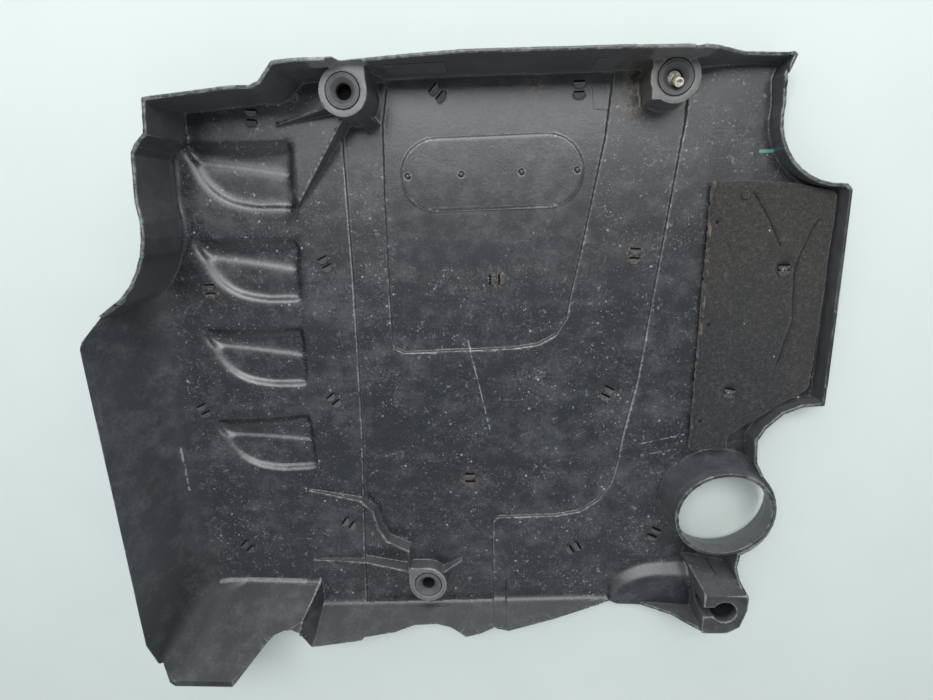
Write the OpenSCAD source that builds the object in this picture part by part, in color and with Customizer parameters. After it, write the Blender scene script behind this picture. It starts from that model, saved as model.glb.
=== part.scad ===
// Moulded plastic engine cover, lying on its show face with the hollow underside up.
// x runs along the long side, y from the lower edge to the upper edge, z up out of the hollow.
// Lengths in mm.

/* [Moulding] */
// Wall thickness of the moulding
wall = 2.5; // [2:0.1:3.5]
// How far the middle panel stands out of the panel around it, on the show side
panel_step = 3; // [1.5:0.5:5]
// How far the panel around it stands out of the plain field
field_step = 2.5; // [1:0.5:4]
// Rim height along the upper edge
rim_top = 64; // [50:1:75]
// Rim height at the lower left corner
rim_corner = 69; // [60:1:80]
// How far the ledge beside the open clip stands up
ledge_rise = 8; // [4:0.5:10]
// Width of the ramp round that ledge
ledge_ramp = 11; // [8:0.5:14]
// Rim height along the right edge
rim_right = 24; // [18:1:30]

/* [Grommet towers] */
// Bore that the rubber grommets sit in
seat_r = 12; // [10:0.5:14]
// Wall of a tower around its bore
tower_wall = 4.5; // [3:0.5:6]
// Height of the upper left tower
tower_left_z = 44; // [36:1:52]
// Height of the upper right tower
tower_right_z = 35.6; // [28:0.2:42]
// Height of the lower tower
tower_low_z = 18; // [15:1:26]
// Depth of the grommet seat
seat_depth = 9; // [6:0.5:12]

/* [Rubber grommets] */
// Socket for the ball stud
socket_r = 5.3; // [4:0.1:7]
// Mouth of the funnel
funnel_r = 8.6; // [7:0.1:10]
// Depth of the funnel above the socket
funnel_depth = 3; // [2:0.5:5]
// Gap between a grommet and its seat
grommet_gap = 0.05; // [0.02:0.01:0.2]

/* [Ball stud left in a grommet] */
// Gap between the ball and its socket
ball_gap = 0.3; // [0.1:0.05:0.5]
// Radius of the shank
shank_r = 3.1; // [2:0.1:3.4]
// Length of the shank above the ball
shank_len = 7; // [4:0.5:12]
// Lean of the stud, degrees
stud_lean = 23; // [0:1:24]

/* [Filler collar] */
// Radius of the opening
filler_r = 35.5; // [30:0.5:40]
// Lean of the collar, degrees
filler_lean = 6; // [0:1:12]
// Height of the collar above the show face
filler_top = 34; // [28:0.5:40]

/* [Open clip] */
// Radius of the open clip's bore
clip_r = 9.2; // [6:0.2:10]
// Width of its slot
clip_slot = 9; // [6:0.5:10]
// Height of the clip
clip_z = 47; // [40:1:52]

/* [Sound pad] */
// Thickness of the pad
pad_thick = 8; // [5:0.5:12]
// Radius of the moulded pins that carry the pad
pad_pin_r = 2; // [1.5:0.1:3]
// Gap between the pad and what stands beside it
pad_gap = 0.3; // [0.1:0.05:0.6]
// Gap under the pad
pad_lift = 0.02; // [0.01:0.01:0.1]

/* [Badge seat] */
// How far the badge seat is raised inside, and recessed on the show side
badge_step = 0.8; // [0.4:0.1:1.2]
// Radius of the staked pins
badge_pin_r = 1.6; // [1:0.1:2]

/* [Hidden] */
$fn = 64;

z_panel = wall;                       // inner face of the middle panel
z_field2 = z_panel + panel_step;      // inner face of the panel around it
z_field = z_field2 + field_step;      // inner face of the plain field
big = 400;
top_y = 238.8;                        // upper edge of the rim
low_y = -238.8;                       // lower edge of the rim
tower_left = [-74, top_y - 17.4];
tower_right = [147.3, top_y - 17];
tower_low = [-39.4, -176.9];
filler_pos = [203, -101];
clip_pos = [203.8, -179.6];
ball_r = socket_r - ball_gap;
collar_foot = filler_r + 8.8;         // radius of the collar where it meets the field
badge_pos = [23.9, 167.5];
badge_r = 26.5;
badge_half = 41.9;
badge_pins = [-63.4, -22.7, 22.6, 64];
pad_pins = [[239.2, 90.2], [206.8, -5.5], [206.5, 145], [200.2, 110.4]];

// points of an arc about c
function arc(c, r, a0, a1, n) = [for (i = [0:n])
    let (a = a0 + (a1 - a0) * i / n) [c[0] + r * cos(a), c[1] + r * sin(a)]];
function unit(v) = v / norm(v);
// a clockwise outline moved inwards by d, or outwards where d is negative
function inset(p, d) = [for (i = [0:len(p) - 1])
    let (a = unit(p[i] - p[(i + len(p) - 1) % len(p)]),
         b = unit(p[(i + 1) % len(p)] - p[i]),
         m = [a[1], -a[0]], n = [b[1], -b[0]])
    p[i] + d * (m + n) / (1 + m * n)];

// plan of the rim, clockwise from the upper left corner
rim = concat(
    [[-205.5, top_y - 17.8], [-143.9, top_y - 13.4], [-131, top_y - 14.2], [-124.8, top_y - 12],
     [-114, top_y - 1.2], [-102, top_y], [7, top_y], [41.4, top_y - 0.6], [105.5, top_y - 1.8],
     [164.8, top_y - 3.8], [192.3, top_y - 2.2], [226.2, top_y - 3.1], [228.7, top_y - 5.2],
     [223.9, top_y - 16.3]],
    arc([270, top_y - 42.8], 45.6, 169, 259, 9),
    [[272.3, top_y - 88.4], [275.8, top_y - 92.3], [275.8, 60], [275.2, -13.6], [258.7, -14.8],
     [245.2, -20.3], [233.5, -31.7], [227.8, -42], [228.6, -60]],
    arc(filler_pos, 42.5, 44, -66, 11),
    [[217, -149], [217.6, -157], [222, -166], [221.4, -177.5], [216.5, -193.4],
     [206.5, -199.4], [186.8, -199.6], [145.4, -196.6], [119.4, -196], [107.2, -198.9],
     [67.6, -207], [28.7, -213.6], [20.2, -212.8], [17.9, -212.1], [5.5, -215.4], [-6.7, -217.2],
     [-15.7, -214], [-20.9, -212.6], [-32.8, -211.4], [-52.3, -212.4], [-68.9, -216.3],
     [-96.6, -219.6], [-98, -221.2], [-141.6, -225.5], [-144.4, -219.9], [-146.4, -215.8],
     [-148.4, -212], [-150.7, -209],
     [-157.9, -207.2], [-164.6, -207.7], [-172, -209.9], [-177.4, -214], [-201.5, low_y + 0.2],
     [-249, low_y], [-266.2, -223.3], [-269.7, -199.9], [-270.6, -164.4], [-273.1, -58.5],
     [-275.8, 52], [-275.1, 57.2], [-267.6, 73.9]],
    arc([-291, top_y - 99.8], 70.5, -47, 12, 6),
    [[-220.4, top_y - 61.8], [-219.6, top_y - 52.4], [-215.5, top_y - 46.2], [-208.1, top_y - 40.1]]);

// heights of the rim: along the upper edge, the lower edge, the left edge and the right edge
top_line = [[-big, 56], [-144, 58], [-125, 60], [-114, rim_top - 2], [-75, rim_top - 4.2],
            [-73, 50], [-55, 53], [-30, 57], [7, rim_top - 3], [151, rim_top - 5], [154, 55],
            [158, rim_top - 5], [166, 56], [178, 44], [193, 30], [226, 25], [big, 24]];
low_line = [[-big, rim_corner], [118, rim_corner], [118.6, z_field + ledge_rise + 0.3],
            [145, z_field + ledge_rise + 0.6], [168, 27], [186, 44], [big, 44]];
left_line = [[-big, rim_corner], [58, rim_corner], [67, 60], [74.4, 53], [87.4, 61], [146, 58],
             [177, 57], [big, 56]];
right_line = [[-big, 44], [-163, 44], [-150, 33], [-140, 29], [-70, 28], [-60, rim_right + 1],
              [-42, rim_right], [214, rim_right], [222, 27], [big, 27]];

// middle panel and the panel around it, clockwise
mid_panel = [[-19, big], [131.5, big], [107.7, 190], [90.2, 102.8], [83.7, 74], [80.5, 56],
             [72, 42.5], [58, 35], [38, 32.4], [-50, 30.4], [-56.5, 33.5], [-59.3, 42],
             [-58, 155], [-56, 205]];
wide_panel = [[-85.5, big], [174.3, big], [163.9, 199.8], [136.8, 4.6], [126.5, -43.3],
              [123.1, -67.4], [117.8, -87], [108, -101], [93, -111.5], [72, -115.4],
              [22.3, -117.1], [18.7, -121], [17.3, -179.6], [17, -230], [-99.5, -230],
              [-95.5, -142.6], [-89.6, -40], [-86.6, 80]];

// one air louvre, about its left tip
louvre_leaf = concat([[0, 1.5], [80, 2], [80, -45.5], [52, -45.6]],
    [for (a = [8:12:80]) [3 + 42 * (1 - sin(a)) , -44.5 * cos(a) + 0.5]], [[1, -8], [0, -3]]);
louvre_deep = [[0, 1.5], [80, 2], [80, -22.5], [66, -20.4], [38, -16.2], [4, -12.2], [0.2, -3]];
louvres = [[-206.8, 196, -1.6], [-209, 124.5, -1.6], [-212.5, 52.5, -0.2], [-214, -26.5, 3]];

// pairs of hook scales for a foam lining that is no longer there: x, y, turn, floor
scales = [[-14, 224.9, 45, z_panel], [88.5, 223, 0, z_panel], [-153, 213.2, -5, z_field],
          [-203, 85, 0, z_field], [-107.4, 104, 25, z_field], [26.5, 87.7, 90, z_panel],
          [131.6, 103.1, -5, z_field2], [-223, -16, 25, z_field], [-110.4, -8.5, 38, z_field],
          [113.4, -6.8, -28, z_field2], [-0.1, -82.1, 0, z_field2], [-107.4, -122.8, 55, z_field],
          [-201.8, -145.8, 45, z_field], [87.7, -146.3, -60, z_field], [155.5, -132.7, -25, z_field]];

sound_outline = [[183.4, 155.5], [214.2, 155], [244, 151.6], [268.5, 145.6], [271.5, 143],
                 [267, -2], [208.5, -41], [207.8, -52.5], [179, -53.5], [181, 40]];

// raised ledge beside the open clip: the centre and radius of its round end, and its left end
ledge_pos = [162.7, -220.6];
ledge_r = 51.3;
ledge_left = 118.7;
// shallow channel across the fold of the lower side
channel = [[17.3, -172], [28.5, -172], [28.5, -big], [17.3, -big]];

// folds where the floor turns up into a sloped side: turn about z, distance from the middle,
// radius, rise in degrees
left_fold = [1.5, 226, 32, 64];
slope_fold = [90, 175.5, 9, 48];
corner_fold = [48, 276, 26, 39];
low_fold = [92, 192.3, 10, 52];
// section through a fold, with d as the wall below it
function fold(f, d) = let (r = f[2] + d, a = f[3], n = 10, x1 = -f[1] - r * sin(a),
                           z1 = z_field - d + r * (1 - cos(a)))
    concat([for (i = [0:n]) let (b = a * i / n) [-f[1] - r * sin(b), z_field - d + r * (1 - cos(b))]],
           [[x1 - 60, z1 + 60 * tan(a)]]);
module upright(turn) rotate([0, 0, turn]) rotate([90, 0, 0]) translate([0, 0, -2 * big])
    linear_extrude(4 * big) children();
module above_fold(f, d) upright(f[0])
    polygon(concat([[2 * big, z_field - d]], fold(f, d), [[-2 * big, 220], [2 * big, 220]]));
// where the sloped sides end at the rim with no upright wall
open_side = [[-2 * big, -2 * big], [ledge_left, -2 * big], [ledge_left, -192], [-200, -192],
             [-250, -150], [-250, 74], [-2 * big, 74]];
// room to the right of a steep end face that starts at x on the floor and leans to the left
module right_of(turn, x, lean, d) upright(turn)
    polygon([[x - (1.09 - lean) * d, z_field - d], [x - 1.09 * d - lean * 200, z_field + 200],
             [2 * big, z_field + 200], [2 * big, z_field - d]]);

module prism(p, z0, z1 = 120) translate([0, 0, z0]) linear_extrude(z1 - z0) polygon(p);

module field_room(p, d) intersection() {
    prism(p, -20);
    above_fold(left_fold, d);
    above_fold(corner_fold, d);
    union() {
        above_fold(slope_fold, d);
        intersection() {
            above_fold(low_fold, d);
            right_of(0, -137.5, 0.45, d);
            right_of(22.6, -205, 0.41, d);
        }
    }
}

// the ledge's solid, lowered by d
module ledge(d) intersection() {
    translate([0, 0, -d]) union() {
        translate([ledge_pos[0], ledge_pos[1], z_field]) {
            cylinder(h = ledge_rise, r1 = ledge_r + ledge_ramp, r2 = ledge_r, $fn = 96);
            translate([0, 0, -20]) cylinder(h = 20, r = ledge_r + ledge_ramp, $fn = 96);
        }
        rotate([90, 0, 90]) translate([0, 0, ledge_pos[0]]) linear_extrude(32)
            translate([ledge_pos[1] + ledge_r, z_field])
                polygon([[-60, -20], [ledge_ramp, -20], [ledge_ramp, 0], [0, ledge_rise], [-60, ledge_rise]]);
    }
    translate([ledge_left + d, -big, -20]) cube([194.7 - ledge_left - d, big, 60]);
}

module place_louvres() for (l = louvres) translate([l[0], l[1], 0]) rotate([0, 0, l[2]]) children();

// all that the skin encloses on its outer side, and the room inside it
module outer_body() {
    difference() {
        field_room(rim, wall);
        ledge(wall);
    }
    intersection() {
        prism(rim, -20);
        union() {
            prism(inset(wide_panel, -wall), z_field2 - wall, z_field + 1);
            prism(inset(mid_panel, -wall), 0, z_field + 1);
            place_louvres() {
                prism(inset(louvre_leaf, -wall), z_field - 3.5 - wall, z_field + 0.5);
                prism(inset(louvre_deep, -wall), z_field - 5.5 - wall, z_field + 0.5);
            }
        }
    }
}
module inner_room() {
    difference() {
        union() {
            field_room(inset(rim, wall), 0);
            intersection() {
                field_room(2 * [[-big, -big], [-big, big], [big, big], [big, -big]], 0);
                prism(open_side, 0);
            }
        }
        ledge(0);
    }
    intersection() {
        translate([0, 0, -1]) above_fold(low_fold, 0);
        prism(inset(rim, -wall), 0, 60);
        prism(channel, 0);
    }
    intersection() {
        prism(inset(rim, wall), -20);
        union() {
            prism(wide_panel, z_field2, z_field + 1);
            prism(mid_panel, z_panel, z_field + 1);
            place_louvres() {
                prism(louvre_leaf, z_field - 3.5, z_field + 4);
                prism(louvre_deep, z_field - 5.5, z_field + 4);
            }
        }
    }
}

// what is cut away above the rim
module above_line(line, len0, len1)
    rotate([90, 0, 0]) translate([0, 0, -len1]) linear_extrude(len1 - len0)
        polygon(concat(line, [[big, 300], [-big, 300]]));
module above_rim() {
    intersection() {
        above_line(top_line, 186, big);
        translate([-big, 186, 0]) cube([big + 223.5, big, big]);
    }
    intersection() {
        above_line(low_line, -big, -190);
        translate([-252, -big, 0]) cube([252 + 218, big - 190, big]);
    }
    translate([-big, 0, 0]) rotate([90, 0, 90]) linear_extrude(big - 212)
        polygon(concat(left_line, [[big, 300], [-big, 300]]));
    translate([210, 0, 0]) rotate([90, 0, 90]) linear_extrude(big)
        polygon(concat(right_line, [[big, 300], [-big, 300]]));
}

module stadium(r, half, z0, z1)
    translate([badge_pos[0], badge_pos[1], z0]) linear_extrude(z1 - z0) union() {
        square([2 * half, 2 * r], center = true);
        translate([half, 0]) circle(r);
        translate([-half, 0]) circle(r);
    }

// a tower for a grommet: round, with one square corner towards the nearest wall
module tower(p, top, corner) {
    r = seat_r + tower_wall;
    translate([p[0], p[1], 1]) {
        cylinder(h = top - 1, r = r);
        for (c = corner) translate([min(0, c[0]), min(0, c[1]), 0])
            cube([abs(c[0]), abs(c[1]), top - 1]);
    }
}
module seat(p, top) {
    translate([p[0], p[1], top - seat_depth]) cylinder(h = seat_depth + 1, r = seat_r);
    translate([p[0], p[1], top - seat_depth - 3]) cylinder(h = 4, r = socket_r + 1);
}

// a rib from a to b: its top falls from za to zb, and it stands on the floor
module rib(a, b, za, zb, t = 2) {
    d = b - a;
    translate([a[0], a[1], 0]) rotate([0, 0, atan2(d[1], d[0])])
        translate([0, t / 2, 0]) rotate([90, 0, 0]) linear_extrude(t)
            polygon([[-0.6, 3], [-0.6, za], [norm(d) + 0.6, zb], [norm(d) + 0.6, 3]]);
}
module rib_run(pts, tops, t = 2)
    for (i = [0:len(pts) - 2]) rib(pts[i], pts[i + 1], tops[i], tops[i + 1], t);

function from(p, steps) = [for (d = steps) p + d];
module towers() {
    tower(tower_left, tower_left_z, [[16, 18]]);
    tower(tower_right, tower_right_z, [[-15.2, 15], [-15.2, -13.4], [13, 14]]);
    tower(tower_low, tower_low_z, [[-16.5, 16.5]]);
    rib_run(from(tower_left, [[-13, -5.4], [-60, -14]]), [27.5, 9.5]);
    rib_run(from(tower_left, [[-6, -14.4], [-57.6, -82.2]]), [28, 9.5]);
    rib_run(from(tower_left, [[15, 14], [18.4, 14], [21, 14], [23, 14]]), [43, 32, 20, 8], 2.6);
    rib_run(from(tower_left, [[6, -11.4], [12.6, -19.6]]), [34, 8], 9);
    rib_run(from(tower_low, [[-16, 16.9], [-16, 32.4], [-34.1, 41.3], [-41.2, 53.5],
                             [-44.9, 68.6], [-54.9, 78.3], [-100.6, 86.3]]),
            [17.5, 17.5, 17, 16.5, 15.5, 14.5, 9.5], 2.4);
    rib_run(from(tower_low, [[-16.1, 11.9], [-53.6, 18.9], [-103.9, 18.1]]), [17.5, 15, 9.5], 2.4);
    rib_run(from(tower_low, [[11.4, 8.9], [29.6, 17]]), [17, 8], 2.4);
}
// the wall is thinner where the left tower's plate meets it
module tower_relief() translate([tower_left[0] - 6, top_y - 11, tower_left_z]) cube([22.5, 9.9, 40]);

module collar_place() translate([filler_pos[0], filler_pos[1], 0])
    translate([0, 0, filler_top]) rotate([filler_lean, 0, 0]) children();
module collar_solid() collar_place() {
    translate([0, 0, -7]) cylinder(h = 7, r = filler_r + 3.2, $fn = 96);
    translate([0, 0, -29]) cylinder(h = 22, r1 = collar_foot, r2 = filler_r + 3.2, $fn = 96);
}
module collar_hole() collar_place() {
    translate([0, 0, -11]) cylinder(h = 30, r = filler_r, $fn = 96);
    translate([0, 0, -51]) cylinder(h = 40, r1 = filler_r + 15, r2 = filler_r, $fn = 96);
}

// block of the open clip, sloped away from the corner
module clip_solid() {
    intersection() {
        prism([[187, -205], [187, -163], [180, -150.5], [214, -157.5], [230, -157.5], [230, -205]],
              0, clip_z);
        field_room(rim, wall - 0.2);
        rotate([90, 0, 90]) translate([0, 0, 150]) linear_extrude(100)
            polygon([[-210, 0], [-210, clip_z], [-164.5, clip_z], [-150, 25], [-150, 0]]);
    }
}
module clip_cut() translate([clip_pos[0], clip_pos[1], 24]) {
    cylinder(h = 40, r = clip_r);
    translate([-40, -clip_slot / 2, 0]) cube([40, clip_slot, 40]);
}

// a half-round scale, raised along its straight edge
module hook_scale() translate([0, 0, 2.4]) rotate([32, 0, 0]) intersection() {
    translate([0, 0, -1.1]) cylinder(h = 1.1, r = 4.5, $fn = 32);
    translate([-5, -6, -2]) cube([10, 6, 3]);
}
module hook_scales() for (f = scales) translate([f[0], f[1], f[3]]) rotate([0, 0, f[2]])
    for (y = [-2.6, 4.4]) translate([0, y, 0]) hook_scale();

module cover_shell() color([0.06, 0.065, 0.075]) {
    difference() {
        union() {
            difference() {
                outer_body();
                inner_room();
                above_rim();
                tower_relief();
            }
            intersection() {
                prism(rim, z_field2 - 0.1);
                union() {
                    towers();
                    collar_solid();
                }
            }
            clip_solid();
            hook_scales();
            for (p = pad_pins) translate([p[0], p[1], z_field - 1])
                cylinder(h = pad_thick, r = pad_pin_r);
            stadium(badge_r, badge_half, 1, z_panel + badge_step);
        }
        collar_hole();
        clip_cut();
        seat(tower_left, tower_left_z);
        seat(tower_right, tower_right_z);
        seat(tower_low, tower_low_z);
        stadium(badge_r - wall, badge_half, -1, badge_step);
        for (x = badge_pins) translate([badge_pos[0] + x, badge_pos[1], z_panel + badge_step - 0.6])
            cylinder(h = 2, r = badge_pin_r + 0.7, $fn = 32);
    }
    for (x = badge_pins) translate([badge_pos[0] + x, badge_pos[1], z_panel - 1])
        cylinder(h = badge_step + 1.3, r = badge_pin_r, $fn = 32);
}

module sound_pad() color([0.10, 0.09, 0.08]) difference() {
    intersection() {
        prism(sound_outline, z_field + pad_lift, z_field + pad_thick);
        prism(inset(rim, wall + pad_gap), 0);
    }
    translate([filler_pos[0], filler_pos[1], 0]) cylinder(h = 60, r = collar_foot + pad_gap, $fn = 96);
    for (p = pad_pins) translate([p[0], p[1], 0]) cylinder(h = 60, r = pad_pin_r + pad_gap / 3);
}

// a rubber bush with a funnel over a socket, seated on the floor of its tower
module grommet(p, top) color([0.05, 0.05, 0.05]) translate([p[0], p[1], top]) difference() {
    translate([0, 0, -seat_depth]) cylinder(h = seat_depth + 0.4, r = seat_r - grommet_gap);
    translate([0, 0, -funnel_depth]) cylinder(h = funnel_depth + 1,
        r1 = socket_r + 0.4, r2 = funnel_r + (funnel_r - socket_r) / funnel_depth);
    translate([0, 0, -seat_depth - 1]) cylinder(h = seat_depth, r = socket_r);
}
module grommet_upper_left() grommet(tower_left, tower_left_z);
module grommet_upper_right() grommet(tower_right, tower_right_z);
module grommet_lower() grommet(tower_low, tower_low_z);

module ball_stud() color([0.75, 0.72, 0.62])
    translate([tower_right[0], tower_right[1], tower_right_z - seat_depth + 2.5])
    rotate([stud_lean, 0, 12]) {
        intersection() {
            sphere(ball_r);
            translate([-10, -10, -3]) cube(20);
        }
        difference() {
            translate([0, 0, 2]) cylinder(h = ball_r + shank_len - 2, r = shank_r);
            translate([0, 0, ball_r + shank_len - 3]) cylinder(h = 4, r = shank_r - 1.3);
        }
    }

cover_shell();
sound_pad();
grommet_upper_left();
grommet_upper_right();
grommet_lower();
ball_stud();
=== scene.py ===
"""Engine cover seen from its hollow underside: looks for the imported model, in metres."""
import math

import bmesh
import bpy
import numpy as np
from mathutils import Matrix, Vector, noise
from mathutils.bvhtree import BVHTree
from mathutils.kdtree import KDTree


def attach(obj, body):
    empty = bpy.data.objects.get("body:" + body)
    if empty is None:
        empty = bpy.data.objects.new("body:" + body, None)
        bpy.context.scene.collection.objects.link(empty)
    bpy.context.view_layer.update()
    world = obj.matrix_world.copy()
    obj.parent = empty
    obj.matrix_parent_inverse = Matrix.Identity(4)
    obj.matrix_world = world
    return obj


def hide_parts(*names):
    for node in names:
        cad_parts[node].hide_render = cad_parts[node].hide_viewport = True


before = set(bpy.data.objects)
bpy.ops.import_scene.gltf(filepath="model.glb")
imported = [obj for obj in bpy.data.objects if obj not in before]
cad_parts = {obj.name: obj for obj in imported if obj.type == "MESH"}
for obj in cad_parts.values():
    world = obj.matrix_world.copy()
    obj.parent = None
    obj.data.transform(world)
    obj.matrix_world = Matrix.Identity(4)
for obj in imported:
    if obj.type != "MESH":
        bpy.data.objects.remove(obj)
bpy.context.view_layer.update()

MM = 0.001

# Places from the part's source, in mm

# x, y and top of each tower
TOWERS = {"grommet_upper_left": (-74, 221.4, 44), "grommet_upper_right": (147.3, 221.8, 35.6),
          "grommet_lower": (-39.4, -176.9, 18)}
STUD_FOOT = (147.3, 221.8, 29.1)
STUD_LEAN, STUD_TURN = 23, 12
CLIP_BORE = (203.8, -179.6)
# Tip x, tip y and turn of each louvre
LOUVRES = [(-206.8, 196, -1.6), (-209, 124.5, -1.6), (-212.5, 52.5, -0.2), (-214, -26.5, 3)]
CORNER_VALLEY = [(-236, -165, 9), (-263, -215, 55)]
LEDGE_CENTRE = (162.7, -220.6)
BADGE = (23.9, 167.5)
BADGE_R, BADGE_HALF, BADGE_TOP = 26.5, 41.9, 3.3
BADGE_PINS = [-63.4, -22.7, 22.6, 64]
PAD_TOP = 16

# Places read from the photograph, in mm

# x, y, turn and floor height of each pair of hooks
HOOK_SCALES = [(-14, 224.9, 45, 2.5), (88.5, 223, 0, 2.5), (-153, 213.2, -5, 8), (-203, 85, 0, 8),
               (-107.4, 104, 25, 8), (26.5, 87.7, 90, 2.5), (131.6, 103.1, -5, 5.5),
               (-223, -16, 25, 8), (-110.4, -8.5, 38, 8), (113.4, -6.8, -28, 5.5),
               (-0.1, -82.1, 0, 5.5), (-107.4, -122.8, 55, 8), (-201.8, -145.8, 45, 8),
               (87.7, -146.3, -60, 8), (155.5, -132.7, -25, 8)]
STAINS = [(26.5, 87.7), (131.6, 103.1), (113.4, -6.8), (-0.1, -82.1), (-203, 85), (56, 227)]
# Ends and width of each pale scratch, and ends of each dark cut
SCRATCHES = [((2, 39), (10, 2), 0.8), ((10, 2), (18, -37), 0.7),
             ((-245.1, -46.6), (-243.5, -86), 0.9), ((141, -50), (176, -42), 0.8),
             ((142, -60), (170, -55), 0.5)]
CUTS = [((154.6, -163), (156.9, -169.4)), ((200.2, -154.7), (198, -156.4)),
        ((214, 172), (216, 160))]
PAINT_DASH = [(217.6, 175.2), (225.6, 175.0)]
# Ends of the painted highlight along the corner's fold
CORNER_FOLD = [(-229, -178.3), (-153, -179.9)]
# Ends of the corner's valley, which is made rougher and darkened a little as painted shade
CORNER_DULL_SHADE = [(-238, -168), (-262, -214)]
# The radii between which each tower's scuffed top fades out, and its share
SCUFFS = {"grommet_upper_left": (22, 26, 1.0), "grommet_upper_right": (20, 24, 0.5),
          "grommet_lower": (19, 24, 0.7)}
PAD_HOOKS = [(239.3, 90.2, 0), (206.9, -5.6, -12)]
PAD_PINS = [(206.5, 145), (200.2, 110.4)]
# x, y, radius and depth
PAD_DIMPLES = [(239.3, 91.5, 8.5, 3.0), (206.9, -4.3, 8.5, 3.0), (206.7, 143, 10, 0.9),
               (200.4, 110.4, 9, 0.7)]
PAD_CREASES = [[(213, 146.5), (217, 140), (225, 126.8), (234.4, 108)],
               [(259, 126), (255.7, 119.4), (249.3, 100.3), (246.6, 87.2), (248, 50.3),
                (243, 27), (240, 18)]]
PAD_HOLES = [(188.1, 126.6), (186.9, 50.2), (185.1, -27.5)]

# The camera that fits the photograph, in metres
CAMERA_AT = (0.0283, 0.1391, 0.4438)
CAMERA_LOOK = (-0.0610, -0.2373, -0.9695)
CAMERA_RIGHT = (0.9979, -0.0339, -0.0545)
LENS, SENSOR = 21.6077, 36.0

NEARLY_BLACK = (0.006, 0.006, 0.007)
BARE_PLASTIC = (0.008, 0.010, 0.013)
GREY_DUST = (0.30, 0.31, 0.32)
TAN_DUST = (0.17, 0.155, 0.135)
OLD_OIL = (0.17, 0.125, 0.075)
TEAL_PAINT = (0.07, 0.25, 0.23)

# The shell's triangles before its folds are banded
SHELL_TRIANGLES = 150000


# Camera, floor and light

def camera():
    """The photograph's viewing angle: nearly straight down, with a slight lean."""
    data = bpy.data.cameras.new("camera")
    data.lens = LENS
    data.sensor_width = SENSOR
    data.clip_start = 0.02
    cam = bpy.data.objects.new("camera", data)
    bpy.context.scene.collection.objects.link(cam)
    look = Vector(CAMERA_LOOK).normalized()
    up = Vector(CAMERA_RIGHT).cross(look).normalized()
    right = look.cross(up).normalized()
    turn = Matrix((right, up, -look)).transposed()
    cam.matrix_world = Matrix.Translation(CAMERA_AT) @ turn.to_4x4()
    bpy.context.scene.camera = cam


def softbox(name, place, aim, width, depth, radiance):
    data = bpy.data.lights.new(name, "AREA")
    data.shape = "RECTANGLE"
    data.size = width
    data.size_y = depth
    data.energy = radiance * 4 * width * depth
    lamp = bpy.data.objects.new(name, data)
    bpy.context.scene.collection.objects.link(lamp)
    lamp.location = place
    lamp.rotation_euler = (Vector(aim) - Vector(place)).to_track_quat("-Z", "Y").to_euler()


def studio():
    """Soft light from above and from the far side, over a pale floor."""
    bpy.context.scene.view_settings.view_transform = "Standard"
    world = bpy.data.worlds.new("studio")
    bpy.context.scene.world = world
    world.use_nodes = True
    sky = world.node_tree.nodes["Background"]
    sky.inputs["Color"].default_value = (0.93, 0.98, 1.0, 1)
    sky.inputs["Strength"].default_value = 0.52
    softbox("upper_softbox", (0.0, 0.90, 1.5), (0.0, 0.90, 0.0), 1.6, 0.95, 5.2)
    softbox("near_softbox", (0.0, -1.8, 1.2), (0.0, 0.0, 0.0), 2.5, 1.0, 0.4)
    softbox("far_softbox", (0.0, 2.2, 0.75), (0.0, 0.0, 0.1), 3.2, 1.1, 0.9)

    bm = bmesh.new()
    bmesh.ops.create_grid(bm, x_segments=1, y_segments=1, size=4.0)
    mesh = as_mesh(bm, "floor")
    floor = bpy.data.objects.new("floor", mesh)
    bpy.context.scene.collection.objects.link(floor)
    board = Finish("pale_board")
    mottle = board.noise(60, 3)
    board.set("Base Color", board.blend(mottle, (0.55, 0.615, 0.595), (0.59, 0.655, 0.635)))
    board.set("Roughness", 0.7)
    mesh.materials.append(board.material)


# Materials

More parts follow.
